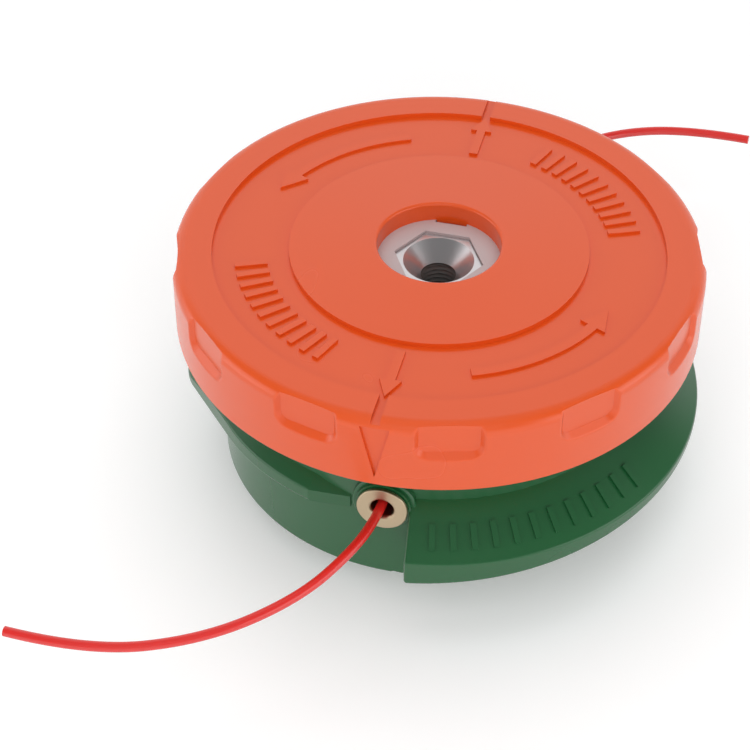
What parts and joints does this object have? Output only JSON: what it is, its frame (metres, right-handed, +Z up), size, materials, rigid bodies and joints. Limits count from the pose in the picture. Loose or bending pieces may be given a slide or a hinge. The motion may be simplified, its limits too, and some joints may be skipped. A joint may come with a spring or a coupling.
{
  "type": "trimmer line head",
  "caption": "Round line head for a brush cutter: gripped cover with drive nut, line housing with shields, eyelets and line tails, tap button below.",
  "frame": {"origin": "middle of the flat underside of the tap button, where the head stands", "axes": "+Z up along the drive shaft, eyelets on the Y axis, front eyelet at -Y"},
  "size_m": [0.1397, 0.23, 0.072],
  "materials": {
    "cover_orange": "satin moulded",
    "housing_green": "satin moulded",
    "hub_alloy": "bead blasted",
    "nut_steel": "polished cone",
    "screw_steel": "zinc plated",
    "spring_steel": "drawn wire",
    "eyelet_metal": "champagne plated",
    "line_red": "drawn nylon",
    "spool_black": "moulded",
    "button_black": "moulded"
  },
  "bodies": {
    "driven": {"top_cover": "cover_orange", "drive_hub": "hub_alloy", "drive_nut": "nut_steel", "cover_screws": "screw_steel", "spool": "spool_black", "line_winding_upper": "line_red", "line_winding_lower": "line_red", "spring_washer": "screw_steel", "feed_spring": "spring_steel"},
    "housing": {"line_housing": "housing_green", "eyelet_front": "eyelet_metal", "eyelet_rear": "eyelet_metal", "line_tail_front": "line_red", "line_tail_rear": "line_red"},
    "button": {"tap_button": "button_black"}
  },
  "joints": [
    {"name": "housing_turn", "type": "hinge", "parent": "driven", "child": "housing", "pos_m": [0, 0, 0.036], "axis": [0, 0, 1], "continuous": true},
    {"name": "tap", "type": "slide", "parent": "driven", "child": "button", "axis": [0, 0, 1], "range_m": [0, 0.0065], "stiffness_N_per_m": 1200, "springref_m": -0.015, "deforming": ["feed_spring"]}
  ]
}
